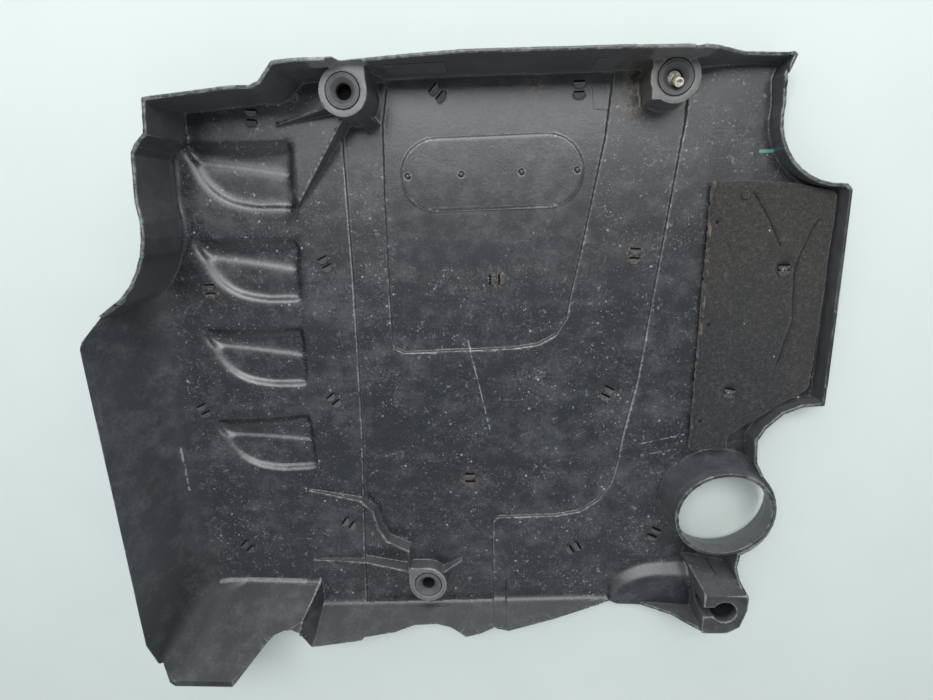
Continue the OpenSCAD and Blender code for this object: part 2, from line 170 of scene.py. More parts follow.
class Finish:
    """A material being mixed. Sizes and places are in mm; each call gives a value from 0 to 1."""

    def __init__(self, name):
        self.material = bpy.data.materials.new(name)
        self.material.use_nodes = True
        self.tree = self.material.node_tree
        self.shade = self.tree.nodes["Principled BSDF"]
        self.place = self.add("ShaderNodeTexCoord").outputs["Object"]
        self.plan = self.vector("MULTIPLY", self.place, (1000, 1000, 0))
        split = self.add("ShaderNodeSeparateXYZ", {0: self.place})
        self.height = self.maths("MULTIPLY", split.outputs["Z"], 1000)

    def add(self, kind, pin_groove_shade=None, **settings):
        node = self.tree.nodes.new(kind)
        for key, value in settings.items():
            setattr(node, key, value)
        for key, value in (pin_groove_shade or {}).items():
            self.feed(node.inputs[key], value)
        return node

    def feed(self, socket, value):
        if isinstance(value, bpy.types.NodeSocket):
            self.tree.links.new(value, socket)
        elif isinstance(value, tuple) and socket.type == "RGBA":
            socket.default_value = (*value, 1)
        else:
            socket.default_value = value

    def set(self, socket, value):
        self.feed(self.shade.inputs[socket], value)

    def maths(self, operation, a, b=0.0, clamp=False):
        return self.add("ShaderNodeMath", {0: a, 1: b}, operation=operation,
                        use_clamp=clamp).outputs[0]

    def times(self, first, *others):
        """The product of the values."""
        for other in others:
            first = self.maths("MULTIPLY", first, other)
        return first

    def most(self, first, *others):
        """The largest of the values."""
        for other in others:
            first = self.maths("MAXIMUM", first, other)
        return first

    def sum(self, *parts, clamp=False):
        """A weighted sum of (value, weight) pairs."""
        total = 0.0
        for value, weight in parts:
            total = self.maths("ADD", self.times(value, weight), total, clamp)
        return total

    def vector(self, operation, a, b=(0, 0, 0), output="Vector"):
        return self.add("ShaderNodeVectorMath", {0: a, 1: b}, operation=operation).outputs[output]

    def ramp(self, value, low, high, to_low=0.0, to_high=1.0):
        """A smooth change from to_low at low to to_high at high."""
        return self.add("ShaderNodeMapRange", {"Value": value, "From Min": low, "From Max": high,
                                               "To Min": to_low, "To Max": to_high},
                        interpolation_type="SMOOTHSTEP").outputs["Result"]

    def blend(self, share, a, b):
        return self.add("ShaderNodeMix", {0: share, 6: a, 7: b}, data_type="RGBA").outputs[2]

    def noise(self, size, detail=2, rough=0.5, stretch=(1, 1, 1), shift=0):
        where = self.add("ShaderNodeMapping", {"Vector": self.place, "Scale": stretch,
                                               "Location": (shift, shift, 0)}).outputs[0]
        field = self.add("ShaderNodeTexNoise", {"Vector": where, "Scale": 1000 / size,
                                                "Detail": detail, "Roughness": rough})
        return field.outputs["Fac"]

    def dots(self, pitch, share):
        """Small round specks, one to each cell of the given pitch."""
        cell = self.add("ShaderNodeTexVoronoi", {"Vector": self.place, "Scale": 1000 / pitch})
        return self.ramp(cell.outputs["Distance"], share, share * 0.6)

    def hairs(self, size, width, shift=0, stretch=(1, 1, 1)):
        """Thin wandering lines, as fine scratches leave."""
        field = self.noise(size, 1.5, 0.6, stretch, shift)
        off = self.maths("ABSOLUTE", self.maths("SUBTRACT", field, 0.5))
        return self.ramp(off, width, width * 0.3)

    def near(self, x, y, inner, outer):
        """Full within the inner radius in plan, and none past the outer one."""
        return self.ramp(self.vector("DISTANCE", self.plan, (x, y, 0), "Value"), outer, inner)

    def near_any(self, places, inner, outer):
        return self.most(0.0, *(self.near(x, y, inner, outer) for x, y in places))

    def streak(self, a, b, width):
        """A thin line in plan from a to b."""
        run = Vector((b[0] - a[0], b[1] - a[1], 0))
        gone = self.vector("SUBTRACT", self.plan, (*a, 0))
        along = self.maths("DIVIDE", self.vector("DOT_PRODUCT", gone, tuple(run), "Value"),
                           run.length_squared, clamp=True)
        foot = self.add("ShaderNodeVectorMath", {0: tuple(run), "Scale": along}, operation="SCALE")
        off = self.vector("DISTANCE", gone, foot.outputs[0], "Value")
        return self.ramp(off, width, width * 0.4)

    def box(self, x0, x1, y0, y1, soft):
        """Full inside a rectangle in plan, with soft sides."""
        split = self.add("ShaderNodeSeparateXYZ", {0: self.plan})
        total = 1.0
        for value, low, high in ((split.outputs["X"], x0, x1), (split.outputs["Y"], y0, y1)):
            total = self.times(total, self.ramp(value, low - soft, low + soft),
                               self.ramp(value, high + soft, high - soft))
        return total

    def relief(self, height):
        """Bump from a height in mm."""
        bump = self.add("ShaderNodeBump", {"Height": height, "Distance": MM, "Strength": 1.0})
        self.set("Normal", bump.outputs[0])


def loose_dirt(f, patch, glossy):
    """Specks, hair-fine scratches and a faint speckle on the hollow's floor."""
    low = f.ramp(f.height, 12, 9)
    bare = f.maths("SUBTRACT", 1.0, f.times(glossy, 0.75))
    crowd = f.ramp(f.noise(30, 3, 0.6, shift=5), 0.42, 0.62)
    specks = f.most(f.times(f.dots(3.2, 0.20), f.ramp(f.noise(7, 2), 0.48, 0.6)),
                    f.times(f.dots(9, 0.13), f.ramp(patch, 0.42, 0.5)))
    specks = f.times(specks, low, f.ramp(crowd, 0, 1, 0.3, 1.0), bare)
    hairs = f.most(f.hairs(9, 0.010), f.hairs(16, 0.006, 4, (1, 0.4, 1)),
                   f.hairs(14, 0.007, 9, (0.35, 1, 1)))
    hairs = f.times(hairs, f.ramp(f.noise(6, 2, 0.5, shift=8), 0.56, 0.70), low, bare)
    speckle = f.times(f.ramp(f.noise(1.5, 1, 0.6, shift=11), 0.56, 0.70),
                      f.ramp(crowd, 0, 1, 0.25, 1.0), low, bare)
    return specks, hairs, speckle


def painted_louvre_light(f, facing, torn):
    """Painted highlight along the louvres' ridges and the corner's fold, and painted shade on the
    slopes behind them, which face away from the lamp.
    """
    tilt = facing.outputs["Y"]
    sideways = f.maths("ABSOLUTE", facing.outputs["X"])
    folded = f.most(f.box(-224, -120, -80, 204, 3), f.box(-232, -158, -178, -156, 4))
    # ridge is a painted highlight where gentle slopes face the lamp
    ridge = f.times(f.ramp(tilt, 0.20, 0.30), f.ramp(tilt, 0.52, 0.40),
                    f.ramp(sideways, 0.34, 0.16), folded, f.ramp(torn, 0, 1, 0.72, 1.0))
    # Painted shade on the slopes that face away from the lamp
    painted_slope_shade = f.times(f.ramp(tilt, -0.10, -0.30), f.box(-224, -128, -80, 212, 3))
    return ridge, painted_slope_shade


def scuffed_towers(f, patch):
    """Greyish wear on the towers' flat tops."""
    scuffed = 0.0
    for node, (inner, outer, share) in SCUFFS.items():
        x, y, top = TOWERS[node]
        flat = f.ramp(f.height, top - 1.0, top - 0.4)
        scuffed = f.most(f.times(f.near(x, y, inner, outer), flat, share), scuffed)
    return f.times(scuffed, f.ramp(patch, 0.3, 0.7, 0.8, 1.0))


def deep_holes(f):
    """The clip's bore and slot, and the bores below the bushes, where little light comes."""
    bore = f.times(f.near(*CLIP_BORE, 9.5, 10.1), f.ramp(f.height, 45, 38))
    slot = f.times(f.box(189, 200, -184, -175.2, 0.4), f.ramp(f.height, 45, 39), 0.7)
    deep = f.most(bore, slot)
    for x, y, top in TOWERS.values():
        deep = f.most(deep, f.times(f.near(x, y, 8, 9), f.ramp(f.height, top - 7.5, top - 8.6)))
    return deep


def black_moulding(name, extra):
    """Grained black moulding under a dusty film, with specks, scratches and rubbed folds, painted
    highlights on the louvres' ridges and the corner's fold, and painted shade on slopes, in the
    pin grooves and in the deep holes.
    """
    f = Finish(name)
    edge = f.add("ShaderNodeAttribute", attribute_name="edge").outputs["Fac"]
    facing = f.add("ShaderNodeSeparateXYZ", {0: f.add("ShaderNodeNewGeometry").outputs["Normal"]})
    cloud = f.noise(45, 2, 0.6)
    patch = f.noise(11, 2, 0.65, shift=3)
    flow = f.noise(16, 1, 0.6, stretch=(0.16, 1, 1), shift=7)
    grain = f.noise(0.9, 0)
    fine = f.noise(2.6, 1, 0.7, shift=2)
    torn = f.ramp(f.noise(3.5, 3, 0.7, shift=6), 0.40, 0.60)

    glossy = f.times(f.ramp(f.height, 4.2, 3.6), f.box(-58, 128, 100, 400, 12))
    # Higher surfaces, steep walls and the left flank are made lighter in the film below
    slope = f.ramp(f.height, 9, 16)
    steep = f.ramp(facing.outputs["Z"], 0.55, 0.15)
    flank = f.times(f.box(-300, -222, -300, 40, 6), f.ramp(f.height, 11, 16))
    # The corner's valley is made rougher, and its film is darkened a little as painted shade
    valley = f.streak(*CORNER_DULL_SHADE, 34)
    specks, hairs, speckle = loose_dirt(f, patch, glossy)
    ridge, painted_slope_shade = painted_louvre_light(f, facing, torn)
    # A pale line painted along the corner's fold as a highlight
    fold = f.times(f.streak(*CORNER_FOLD, 2.4), f.ramp(fine, 0.25, 0.6, 0.5, 1.0))
    rubbed = f.times(f.ramp(edge, 0.28, 0.80), f.ramp(torn, 0, 1, 0.45, 1.0))
    crevice = f.ramp(edge, -0.25, -0.9)
    marks = f.times(f.most(0.0, *(f.streak(*scratch) for scratch in SCRATCHES)), torn)
    scuffed = scuffed_towers(f, patch)

    film = f.sum((cloud, 0.30), (patch, 0.30), (flow, 0.14), (fine, 0.14), (grain, 0.12),
                 (1.0, -0.475))
    # The slopes that face away from the lamp are darkened here as painted shade
    film = f.sum((f.most(film, 0.0), 0.85), (slope, 0.01), (steep, 0.22), (glossy, 0.03),
                 (flank, 0.03), (painted_slope_shade, -0.09), (valley, -0.04), (1.0, extra))
    # The louvres' ridges and the corner's fold are lightened here as painted highlights
    dust = f.sum((film, 1), (specks, 0.7), (hairs, 0.42), (speckle, 0.15), (rubbed, 0.55),
                 (ridge, 0.42), (fold, 0.42), (marks, 0.6), (scuffed, 0.42), (crevice, 0.06),
                 clamp=True)
    colour = f.blend(dust, BARE_PLASTIC, GREY_DUST)
    colour = f.blend(f.times(f.ramp(scuffed, 0.2, 0.5), 0.175), colour, TAN_DUST)

    stained = f.times(f.near_any(STAINS, 4, 9), f.ramp(f.noise(3, 3, 0.7, shift=1), 0.5, 0.62))
    dirty = f.times(f.box(118, 134, 204, 236, 3), f.ramp(f.noise(4, 3, 0.7), 0.48, 0.56), 0.8)
    colour = f.blend(f.times(f.most(stained, dirty), 0.75), colour, OLD_OIL)
    colour = f.blend(f.most(0.0, *(f.streak(*cut, 0.5) for cut in CUTS)), colour, NEARLY_BLACK)
    paint = f.times(f.streak(*PAINT_DASH, 1.7), f.ramp(fine, 0.2, 0.34))
    colour = f.blend(paint, colour, TEAL_PAINT)
    # Painted shade in the groove round each badge pin
    pin_groove_shade = f.near_any([(BADGE[0] + x, BADGE[1]) for x in BADGE_PINS], 2.4, 2.9)
    colour = f.blend(f.times(pin_groove_shade, 0.9), colour, NEARLY_BLACK)
    # Painted shade in the deep bores and in the clip's slot
    colour = f.blend(f.times(deep_holes(f), 0.85), colour, NEARLY_BLACK)
    f.set("Base Color", colour)

    rough = f.sum((patch, 0.10), (cloud, 0.06), (flow, 0.10), (specks, 0.25), (hairs, -0.05),
                  (glossy, -0.06), (scuffed, 0.2), (grain, 0.06), (valley, 0.35))
    f.set("Roughness", f.maths("ADD", rough, 0.20, True))
    f.set("Specular IOR Level", 0.65)
    f.relief(f.sum((grain, 0.035), (fine, 0.03), (patch, 0.07)))
    return f.material


def painted_shade():
    """Painted shade for the unlit depth of a slot or hole."""
    f = Finish("painted_shade")
    f.set("Base Color", f.blend(f.noise(2, 1), (0.004, 0.004, 0.005), (0.012, 0.011, 0.011)))
    f.set("Roughness", 1.0)
    f.set("Specular IOR Level", 0.05)
    return f.material


def felt():
    """Pressed fibre, brownish above and bluish grey below, with a torn brown edge, and painted
    shade in its creases, holes and hook dimples.
    """
    f = Finish("pressed_felt")
    fibre = f.noise(1.1, 3, 0.75)
    strands = f.hairs(4, 0.03, 2)
    tuft = f.noise(5, 4, 0.7, shift=4)
    cloud = f.noise(40, 3, 0.6, shift=1)
    split = f.add("ShaderNodeSeparateXYZ", {0: f.plan})
    upper = f.ramp(f.sum((split.outputs["Y"], 1), (cloud, 90)), 60, 150)
    right = f.ramp(split.outputs["X"], 225, 262)
    colour = f.blend(f.most(upper, f.times(right, 0.8)), (0.020, 0.023, 0.028),
                     (0.032, 0.030, 0.028))
    colour = f.blend(f.ramp(fibre, 0.30, 0.75), f.blend(0.35, colour, (0.008, 0.008, 0.009)),
                     f.blend(0.08, colour, (0.16, 0.155, 0.15)))
    colour = f.blend(f.times(strands, 0.08), colour, (0.30, 0.29, 0.27))
    colour = f.blend(f.times(f.ramp(tuft, 0.52, 0.72), 0.16), colour, TAN_DUST)
    torn = f.times(f.most(f.streak((183.4, 156), (181, 40), 2.0),
                          f.streak((181, 40), (179.4, -40), 0.9)),
                   f.ramp(f.noise(9, 3, 0.75, shift=8), 0.47, 0.62))
    colour = f.blend(torn, colour, (0.16, 0.135, 0.10))
    flecks = f.times(f.dots(11, 0.07), f.ramp(tuft, 0.5, 0.56))
    colour = f.blend(flecks, colour, (0.5, 0.5, 0.49))

    # Painted shade in the creases and holes
    creases = f.most(0.0, *(f.streak(a, b, 1.0) for line in PAD_CREASES
                            for a, b in zip(line, line[1:])))
    painted_gap_shade = f.most(f.near_any(PAD_HOLES, 1.2, 1.9), f.times(creases, 0.75))
    colour = f.blend(f.times(painted_gap_shade, 0.92), colour, NEARLY_BLACK)
    # Painted shade in the dimples beside the pad's hooks
    sunk = f.near_any([(x, y + 3.2) for x, y, turn in PAD_HOOKS], 1.5, 6.5)
    colour = f.blend(f.times(sunk, 0.75), colour, NEARLY_BLACK)
    f.set("Base Color", colour)
    f.set("Roughness", 0.92)
    f.set("Sheen Weight", 0.25)
    f.set("Sheen Roughness", 0.5)
    f.set("Specular IOR Level", 0.25)
    f.relief(f.sum((fibre, 0.22), (tuft, 1.3)))
    return f.material


def dusty_rubber():
    """Soft rubber under grey dust, with painted shade in its bore and on its outer side where it
    goes into the tower.
    """
    f = Finish("dusty_rubber")
    grain = f.noise(0.8, 3, 0.7)
    patch = f.noise(5, 3, 0.65)
    colour = f.blend(f.sum((patch, 0.55), (grain, 0.35)), (0.028, 0.030, 0.033),
                     (0.15, 0.153, 0.153))
    # Painted shade down the bore and on the outer side below the rim
    deep = 0.0
    rim = 1.0
    for x, y, top in TOWERS.values():
        bore = f.times(f.near(x, y, 5.6, 6.6), f.ramp(f.height, top - 2.0, top - 4.5))
        deep = f.most(bore, deep)
        rim = f.times(rim, f.ramp(f.near(x, y, 11.0, 11.5), 1, 0))
    colour = f.blend(f.times(f.most(deep, rim), 0.88), colour, (0.008, 0.009, 0.010))
    f.set("Base Color", colour)
    f.set("Roughness", f.sum((patch, 0.2), (0.5, 1)))
    f.relief(f.sum((grain, 0.12), (patch, 0.25)))
    return f.material


def aged_cream():
    """Cream plastic with brownish patches."""
    f = Finish("aged_cream")
    grain = f.noise(0.8, 3, 0.7)
    patch = f.noise(2.5, 3, 0.7)
    colour = f.blend(f.ramp(patch, 0.42, 0.66), (0.60, 0.56, 0.45), (0.20, 0.17, 0.12))
    f.set("Base Color", f.blend(f.times(grain, 0.3), colour, (0.72, 0.70, 0.62)))
    f.set("Roughness", f.sum((patch, 0.3), (0.35, 1)))
    f.relief(f.sum((grain, 0.08), (patch, 0.15)))
    return f.material


# Mesh helpers

def finished(name, mesh, slot, material, *nodes, smooth=True):
    """A finished piece at the origin that rides with the cover."""
    piece = bpy.data.objects.new(name, mesh)
    bpy.context.scene.collection.objects.link(piece)
    mesh.materials.clear()
    mesh.materials.append(material)
    for face in mesh.polygons:
        face.use_smooth = smooth
    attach(piece, "root")
    if nodes:
        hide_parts(*nodes)
    return piece


def evaluated(data):
    """The mesh of a curve, or of an object with modifiers, which is then removed."""
    work = data
    if not isinstance(data, bpy.types.Object):
        work = bpy.data.objects.new("work", data)
        bpy.context.scene.collection.objects.link(work)
    graph = bpy.context.evaluated_depsgraph_get()
    made = bpy.data.meshes.new_from_object(work.evaluated_get(graph))
    bpy.data.objects.remove(work)
    return made


def worked(mesh, kind, **settings):
    """The mesh after one modifier."""
    work = bpy.data.objects.new("work", mesh)
    bpy.context.scene.collection.objects.link(work)
    mod = work.modifiers.new(kind, kind)
    for key, value in settings.items():
        setattr(mod, key, value)
    return evaluated(work)


def as_mesh(bm, name):
    mesh = bpy.data.meshes.new(name)
    bm.to_mesh(mesh)
    bm.free()
    return mesh


def copied(node):
    """The CAD node's mesh with its loose triangles merged."""
    bm = bmesh.new()
    bm.from_mesh(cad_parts[node].data)
    bmesh.ops.remove_doubles(bm, verts=bm.verts, dist=0.01 * MM)
    return as_mesh(bm, node + "_copy")


def stamp(bm, mesh, matrix):
    """Adds a copy of the mesh, moved by the matrix."""
    first = len(bm.verts)
    bm.from_mesh(mesh)
    bm.verts.ensure_lookup_table()
    bmesh.ops.transform(bm, matrix=matrix, verts=bm.verts[first:])


def placed(x, y, z, turn=0, lean=0):
    """A move in mm after a lean about x and a turn about z, in degrees."""
    return (Matrix.Translation((x * MM, y * MM, z * MM))
            @ Matrix.Rotation(math.radians(turn), 4, "Z")
            @ Matrix.Rotation(math.radians(lean), 4, "X"))


def block(bm, width, depth, height):
    """A block round the origin, in mm. Gives its vertices."""
    verts = bmesh.ops.create_cube(bm, size=MM)["verts"]
    bmesh.ops.scale(bm, vec=(width, depth, height), verts=verts)
    return verts


def softened(bm, edges, offset):
    """Rounds the edges by the offset in mm."""
    bmesh.ops.bevel(bm, geom=edges, offset=offset * MM, segments=2, affect="EDGES", profile=0.5,
                    material=-1)


def turned(profile, closed=False, steps=48):
    """A shape turned about z from (radius, height) points in mm."""
    bm = bmesh.new()
    verts = [bm.verts.new((r * MM, 0, z * MM)) for r, z in profile]
    pairs = list(zip(verts, verts[1:])) + ([(verts[-1], verts[0])] if closed else [])
    edges = [bm.edges.new(pair) for pair in pairs]
    bmesh.ops.spin(bm, geom=verts + edges, axis=(0, 0, 1), cent=(0, 0, 0), steps=steps,
                   angle=math.tau, use_merge=True)
    bmesh.ops.remove_doubles(bm, verts=bm.verts, dist=0.001 * MM)
    bmesh.ops.recalc_face_normals(bm, faces=bm.faces)
    return as_mesh(bm, "turned")


def bead(points, radius, closed=False):
    """A thin round line through points in mm."""
    curve = bpy.data.curves.new("bead", "CURVE")
    curve.dimensions = "3D"
    curve.bevel_depth = radius * MM
    curve.bevel_resolution = 1
    curve.use_fill_caps = True
    line = curve.splines.new("POLY")
    line.points.add(len(points) - 1)
    for spot, point in zip(line.points, points):
        spot.co = (*(c * MM for c in point), 1)
    line.use_cyclic_u = closed
    return evaluated(curve)


def laid(skin, x, y):
    """The height of the skin at x and y, seen from above, in mm."""
    return skin.ray_cast(Vector((x, y, 100)) * MM, Vector((0, 0, -1)))[0].z / MM


def point_array(mesh):
    points = np.empty(len(mesh.vertices) * 3)
    mesh.vertices.foreach_get("co", points)
    return points.reshape(-1, 3)


def put_back(mesh, points):
    mesh.vertices.foreach_set("co", points.ravel())


def relaxed(mesh, share, rounds):
    """The mesh's points, drawn towards the middle of their neighbours by each point's share."""
    points = point_array(mesh)
    share = np.broadcast_to(share, len(points))
    ends = np.empty(len(mesh.edges) * 2, dtype=np.int32)
    mesh.edges.foreach_get("vertices", ends)
    ends = ends.reshape(-1, 2)
    ends = ends[(share[ends] > 0).any(axis=1)]
    used, ends = np.unique(ends, return_inverse=True)
    ends = ends.reshape(-1, 2)
    part, weight = points[used], share[used][:, None]
    count = np.bincount(ends.ravel(), minlength=len(used))
    for _ in range(rounds):
        middle = np.stack([np.bincount(ends[:, 0], part[ends[:, 1], axis], len(used))
                           + np.bincount(ends[:, 1], part[ends[:, 0], axis], len(used))
                           for axis in range(3)], axis=1) / count[:, None]
        part = part + weight * (middle - part)
    points[used] = part
    return points


def within(value, low, high, soft):
    """Full between low and high, and none outside them."""
    return np.clip((value - low) / soft, 0, 1) * np.clip((high - value) / soft, 0, 1)


def line_distance(points, a, b):
    """How far each point is from the line between a and b."""
    a, b = np.array(a), np.array(b)
    along = np.clip((points - a) @ (b - a) / ((b - a) @ (b - a)), 0, 1)
    return np.linalg.norm(points - a - along[:, None] * (b - a), axis=1)


def acute_rim(node):
    """Points along the CAD node's acute edges, where its wall runs out to a thin rim."""
    bm = bmesh.new()
    bm.from_mesh(copied(node))
    spots = []
    for rim in bm.edges:
        a, b = (vert.co for vert in rim.verts)
        if rim.is_manifold and rim.calc_face_angle(0) > 1.85 and max(a.z, b.z) > 9 * MM:
            steps = max(1, int((b - a).length / (0.4 * MM)))
            spots += [a.lerp(b, i / steps) for i in range(steps + 1)]
    bm.free()
    return spots


def kept_rim(mesh, node, reach):
    """Moves points near the acute rim onto it, so that the thin rim keeps its line."""
    spots = acute_rim(node)
    tree = KDTree(len(spots))
    for i, spot in enumerate(spots):
        tree.insert(spot, i)
    tree.balance()
    points = point_array(mesh)
    x, y, z = points.T / MM
    for i in np.nonzero((z > 9) & ((x < -236) | (y < -188)))[0]:
        spot, _, gap = tree.find(points[i])
        if gap < reach * MM:
            points[i] = spot
    put_back(mesh, points)
    bm = bmesh.new()
    bm.from_mesh(mesh)
    bmesh.ops.remove_doubles(bm, verts=bm.verts, dist=0.25 * MM)
    return as_mesh(bm, "kept_rim")


def banded(mesh, reach):
    """Cuts the long triangles beside a rounded fold, so that light and dust end close to it."""
    bm = bmesh.new()
    bm.from_mesh(mesh)
    proud = bm.verts.layers.float["edge"]
    cuts = {}
    for line in bm.edges:
        a, b = line.verts
        length = line.calc_length() / MM
        if length > 2.1 * reach and abs(a[proud] - b[proud]) > 0.12:
            share = reach / length
            cuts[line] = share if abs(a[proud]) > abs(b[proud]) else 1 - share
    made = bmesh.ops.subdivide_edges(bm, edges=list(cuts), cuts=1, edge_percents=cuts)
    for vert in made["geom_inner"]:
        if isinstance(vert, bmesh.types.BMVert):
            vert[proud] = 0
    bmesh.ops.triangulate(bm, faces=bm.faces)
    return as_mesh(bm, "banded")


# Pieces

def lift_louvres(points):
    """Raises the slope behind each louvre's mouth into a lens. The points are in mm."""
    for tip_x, tip_y, turn in LOUVRES:
        bend = math.radians(turn)
        gone = points[:, :2] - (tip_x, tip_y)
        along = gone[:, 0] * math.cos(bend) + gone[:, 1] * math.sin(bend)
        across = gone[:, 1] * math.cos(bend) - gone[:, 0] * math.sin(bend)
        reach = 8.5 * np.sin(np.pi * np.clip((along + 4) / 92, 0, 1)) ** 0.6 + 0.1
        climb = np.clip((across - 1.8 + reach) / reach, 0, 1) * (along > 0) * (across < 2.2)
        under = (points[:, 2] > 1.2) & (points[:, 2] < 8.1) & (across > -12) & (along < 80.5)
        lifted = np.maximum(points[:, 2], 2.5 + 5.5 * climb)
        points[:, 2] = np.where(under, lifted, points[:, 2])


def mark_edges(mesh):
    """Keeps how sharply each point stands out as "edge", from -1 in a fold to 1 on a ridge."""
    points = point_array(mesh)
    normals = np.empty(points.size)
    mesh.vertices.foreach_get("normal", normals)
    proud = ((points - relaxed(mesh, 0.5, 4)) * normals.reshape(-1, 3)).sum(axis=1)
    edge = mesh.attributes.new("edge", "FLOAT", "POINT")
    edge.data.foreach_set("value", np.clip(proud / (0.55 * MM), -1, 1))


def moulded_shell(material):
    """The moulding with softly rounded folds, most of all at its louvres, corner and ledge."""
    mesh = worked(copied("cover_shell"), "REMESH", mode="SHARP", octree_depth=9, scale=0.99,
                  use_remove_disconnected=False)
    put_back(mesh, relaxed(mesh, 0.5, 2))
    points = point_array(mesh) / MM
    lift_louvres(points)
    put_back(mesh, points * MM)

    x, y, z = points.T
    louvres = within(x, -222, -122, 4) * within(y, -80, 204, 4) * (z < 14)
    off = line_distance(points, *CORNER_VALLEY)
    corner = np.clip(1.6 - off / 20, 0, 1) * within(y, -228, 0, 8) * within(x, -266, 0, 9)
    ring = np.hypot(x - LEDGE_CENTRE[0], y - LEDGE_CENTRE[1])
    ledge = within(ring, 46, 68, 4) * (x < 192) * (y > -206) * (z < 20)
    for share, rounds in ((louvres, 40), (corner, 400), (ledge, 30)):
        put_back(mesh, relaxed(mesh, 0.5 * share, rounds))

    mesh = kept_rim(mesh, "cover_shell", 3.4)
    mesh = worked(mesh, "DECIMATE", ratio=SHELL_TRIANGLES / (2 * len(mesh.polygons)))
    mark_edges(mesh)
    mesh = banded(mesh, 1.3)
    for face in mesh.polygons:
        face.use_smooth = True
    mesh = worked(mesh, "WEIGHTED_NORMAL", weight=80)
    return finished("moulded_shell", mesh, "shell_plastic", material, "cover_shell")


def half_moon():
    """A half-round scale, straight along y = 0."""
    bm = bmesh.new()
    bmesh.ops.create_cone(bm, cap_ends=True, segments=32, radius1=4.5 * MM, radius2=4.2 * MM,
                          depth=1.0 * MM)
    bmesh.ops.translate(bm, verts=bm.verts, vec=(0, 0, -0.5 * MM))
    cut = bmesh.ops.bisect_plane(bm, geom=bm.verts[:] + bm.edges[:] + bm.faces[:],
                                 plane_co=(0, 0, 0), plane_no=(0, 1, 0), clear_outer=True)
    rims = [e for e in cut["geom_cut"] if isinstance(e, bmesh.types.BMEdge)]
    bmesh.ops.holes_fill(bm, edges=rims)
    bmesh.ops.recalc_face_normals(bm, faces=bm.faces)
    softened(bm, [e for e in bm.edges if e.calc_face_angle(0) > 0.6], 0.22)
    return as_mesh(bm, "half_moon")


def hook_scales(material, dark):
    """Pairs of half-round hooks that once held a foam lining, and two that hold the pad, each with
    a dark patch of painted shade laid under its raised edge.
    """
    # A thin dark block laid on the floor beside each scale as painted shade
    cut = bmesh.new()
    block(cut, 7.8, 1.7, 0.7)
    softened(cut, cut.edges[:], 0.2)
    shade_patch = as_mesh(cut, "shade_patch")
    scale = half_moon()
    lean = 24
    # x, y, floor and turn, the places of the two scales, and the heights of lip and of the painted
    # shade patch
    rows = [(x, y, floor, turn, (-2.6, 4.4), 2.6, 0.25) for x, y, turn, floor in HOOK_SCALES]
    rows += [(x, y, PAD_TOP - 3, turn, (-1.2, 2.6), 2.0, 0.1) for x, y, turn in PAD_HOOKS]
    bm = bmesh.new()
    shade_patches = bmesh.new()
    for x, y, floor, turn, steps, lip, sunk in rows:
        spot = placed(x, y, floor, turn)
        for step in steps:
            stamp(bm, scale, spot @ placed(0, step, lip, 0, lean))
            stamp(shade_patches, shade_patch, spot @ placed(0, step + 0.9, sunk))
    finished("hook_scales", as_mesh(bm, "hook_scales"), "shell_plastic", material, smooth=False)
    finished("hook_shade_patches", as_mesh(shade_patches, "hook_shade_patches"), "shell_plastic", dark, smooth=False)


def hole_bottoms(skin, dark):
    """Dark discs as painted shade at the unlit bottoms of the two open sockets and of the clip's
    bore.
    """
    places = [(*TOWERS[node][:2], 7.5) for node in ("grommet_upper_left", "grommet_lower")]
    places.append((*CLIP_BORE, 8.6))
    bm = bmesh.new()
    for x, y, radius in places:
        lens = turned([(0, 0.1), (radius - 0.6, 0.25), (radius, 0.45), (radius, -0.3), (0, -0.3)],
                      steps=32)
        stamp(bm, lens, placed(x, y, laid(skin, x, y) + 0.1))
    finished("hole_bottoms", as_mesh(bm, "hole_bottoms"), "shell_plastic", dark)


def staked_pins(material):
    """Melted heads of the badge's pins, each in a raised ring."""
    head = turned([(0, 1.35), (0.5, 1.2), (0.9, 1.25), (1.5, 1.05), (1.75, 0.6), (1.8, 0.0),
                   (1.8, -0.8), (0, -0.8)], steps=24)
    ring = turned([(2.7, -0.3), (2.75, 0.15), (3.0, 0.32), (3.3, 0.15), (3.4, -0.3)],
                  closed=True, steps=28)
    bm = bmesh.new()
    for x in BADGE_PINS:
        spot = placed(BADGE[0] + x, BADGE[1], BADGE_TOP)
        stamp(bm, head, spot)
        stamp(bm, ring, spot)
    finished("staked_pins", as_mesh(bm, "staked_pins"), "shell_plastic", material)


def circle(x, y, r, steps=28):
    return [(x + r * math.cos(math.tau * i / steps), y + r * math.sin(math.tau * i / steps))
            for i in range(steps)]


def badge_seat():
    """The rounded bar round the badge's pins."""
    seat = []
    for side in (1, -1):
        for i in range(25):
            turn = math.radians(-90 + 180 * i / 24)
            seat.append((BADGE[0] + side * (BADGE_HALF + BADGE_R * math.cos(turn)),
                         BADGE[1] + side * BADGE_R * math.sin(turn)))
    return seat


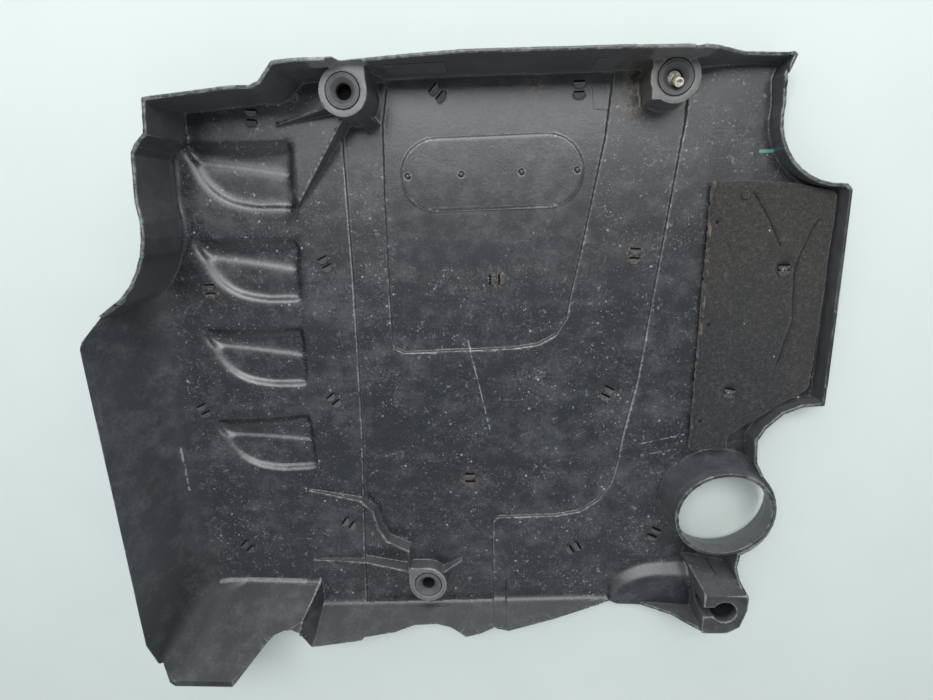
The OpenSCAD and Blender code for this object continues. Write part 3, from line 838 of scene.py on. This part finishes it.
def moulded_lines(skin, material):
    """Fine raised lines of the moulding: seat edge, ejector rings, small outlines and a grid."""
    lines = [(badge_seat(), 0.32, True), (circle(-241, 59.9, 5), 0.22, True),
             (circle(225.3, 161.9, 6), 0.2, True), (circle(-203.2, 142.4, 5.4), 0.2, True),
             (circle(-214.6, -45, 5.4), 0.16, True),
             ([(230.6, 168.5), (232.4, 165.1), (230.3, 160.4)], 0.24, False),
             ([(97.0, 230), (99.4, 209.4), (113.9, 208.3), (111.4, 230)], 0.2, False),
             ([(181, 164.5), (181, 192), (214.5, 191), (214.5, 164.5), (181, 164.5)], 0.14, False),
             (circle(105.5, 223.9, 1.5, 12), 0.25, True)]
    pitch = 2.4
    for i in range(1, 14):
        lines.append(([(181 + pitch * i, 164.5), (181 + pitch * i, 191.5)], 0.11, False))
    for i in range(1, 12):
        lines.append(([(181, 164.5 + pitch * i), (214.5, 164.5 + pitch * i)], 0.11, False))
    bm = bmesh.new()
    for places, radius, closed in lines:
        points = [(x, y, laid(skin, x, y)) for x, y in places]
        stamp(bm, bead(points, radius, closed), Matrix())
    bmesh.ops.recalc_face_normals(bm, faces=bm.faces)
    finished("moulded_lines", as_mesh(bm, "moulded_lines"), "shell_plastic", material)


def wall_plates(material):
    """Thin plates on the upper wall's inner face."""
    bm = bmesh.new()
    for x0, x1, y, z0, z1 in ((-46, -5, 236.1, 17.5, 43), (95.5, 112, 234.7, 6, 40),
                              (118, 126, 234.7, 8, 36)):
        plate = block(bm, x1 - x0, 1.5, z1 - z0)
        bmesh.ops.translate(bm, vec=Vector(((x0 + x1) / 2, y, (z0 + z1) / 2)) * MM, verts=plate)
    softened(bm, bm.edges[:], 0.35)
    finished("wall_plates", as_mesh(bm, "wall_plates"), "shell_plastic", material, smooth=False)


def rubber_bushes(material):
    """Push-on bushes with a funnel, a rolled lip and a fine groove round it."""
    profile = [(5.3, -9), (5.3, -8.8), (5.3, -3.6), (5.45, -3.1), (8.2, -0.25), (8.55, 0.15),
               (9.0, 0.38), (9.6, 0.38), (9.85, 0.1), (10.1, 0.1), (10.3, 0.38), (11.1, 0.34),
               (11.6, 0.05), (11.9, -0.6), (11.9, -8.8), (11.9, -9)]
    for node, (x, y, top) in TOWERS.items():
        bm = bmesh.new()
        stamp(bm, turned(profile, closed=True, steps=64), placed(x, y, top))
        for vert in bm.verts:
            lump = noise.noise(vert.co * 260) * 0.22 * MM
            vert.co.z += lump if vert.co.z > (top - 2) * MM else 0
        finished(node.replace("grommet", "bush"), as_mesh(bm, node), "grommet_rubber", material,
                 node)


def broken_stud(material):
    """The cream stud that was pulled off the engine, with its hollow tip towards the camera."""
    profile = [(0, -3), (3.4, -3), (4.4, -2), (4.95, 0), (4.6, 1.9), (3.6, 3.4), (2.7, 4.4),
               (2.6, 5.0), (3.1, 5.2), (3.1, 11.4), (2.85, 11.95), (2.1, 12.0), (1.75, 11.7),
               (1.7, 9.2), (0, 9.0)]
    bm = bmesh.new()
    stamp(bm, turned(profile, steps=32), placed(*STUD_FOOT, STUD_TURN, STUD_LEAN))
    # noise_vector differs from run to run without a seed
    noise.seed_set(1)
    for vert in bm.verts:
        vert.co += noise.noise_vector(vert.co * 500) * 0.10 * MM
    finished("broken_stud", as_mesh(bm, "broken_stud"), "stud_plastic", material, "ball_stud")


def pad_lift(flat):
    """How far each point of the pad's top rises or sinks, in mm."""
    lift = np.array([noise.noise(Vector(p) / 22) * 1.5 + noise.noise(Vector(p) / 5) * 0.5
                     + noise.noise(Vector(p) / 1.9) * 0.15 for p in flat]) - 0.35
    for line in PAD_CREASES:
        off = np.min([line_distance(flat, (*a, 0), (*b, 0)) for a, b in zip(line, line[1:])],
                     axis=0)
        lift += 0.45 * np.exp(-(off / 4.5) ** 2) - 1.7 * np.exp(-(off / 1.3) ** 2)
    for x, y, radius, depth in PAD_DIMPLES:
        off = np.hypot(flat[:, 0] - x, flat[:, 1] - y)
        lift -= depth * np.exp(-(off / radius) ** 4)
    for x, y in PAD_HOLES:
        off = np.hypot(flat[:, 0] - x, flat[:, 1] - y)
        lift -= 2.0 * np.exp(-(off / 1.6) ** 2)
    return lift


def felt_pad(material):
    """The pressed pad: soft lumps, creases, dimples at its hooks and a torn left edge."""
    mesh = worked(copied("sound_pad"), "REMESH", mode="VOXEL", voxel_size=1.4 * MM)
    put_back(mesh, relaxed(mesh, 0.5, 4))
    points = point_array(mesh) / MM
    top = np.clip((points[:, 2] - 11) / 3.5, 0, 1)
    left = np.clip((190 - points[:, 0]) / 6, 0, 1)
    ragged = np.array([max(0, noise.noise(Vector(p) / 2.6)) for p in points * (1, 1, 0.5)])
    points[:, 2] += top * pad_lift(points * (1, 1, 0))
    points[:, 0] += 1.9 * left * ragged
    put_back(mesh, points * MM)

    bm = bmesh.new()
    bm.from_mesh(mesh)
    pin = turned([(0, 0.3), (1.6, 0.25), (2.6, 0.0), (3.1, -0.5), (2.6, -0.9), (0, -0.9)],
                 steps=20)
    for x, y in PAD_PINS:
        stamp(bm, pin, placed(x, y, PAD_TOP - 0.5))
    pad = finished("felt_pad", as_mesh(bm, "felt_pad"), "pad_felt", material, "sound_pad")


camera()
studio()
shell = moulded_shell(black_moulding("black_moulding", 0.0))
skin = BVHTree.FromObject(shell, bpy.context.evaluated_depsgraph_get())
rubbed = black_moulding("rubbed_moulding", 0.14)
dark = painted_shade()
hook_scales(rubbed, dark)
hole_bottoms(skin, dark)
staked_pins(black_moulding("polished_pins", 0.5))
moulded_lines(skin, rubbed)
wall_plates(black_moulding("wall_moulding", 0.05))
rubber_bushes(dusty_rubber())
broken_stud(aged_cream())
felt_pad(felt())
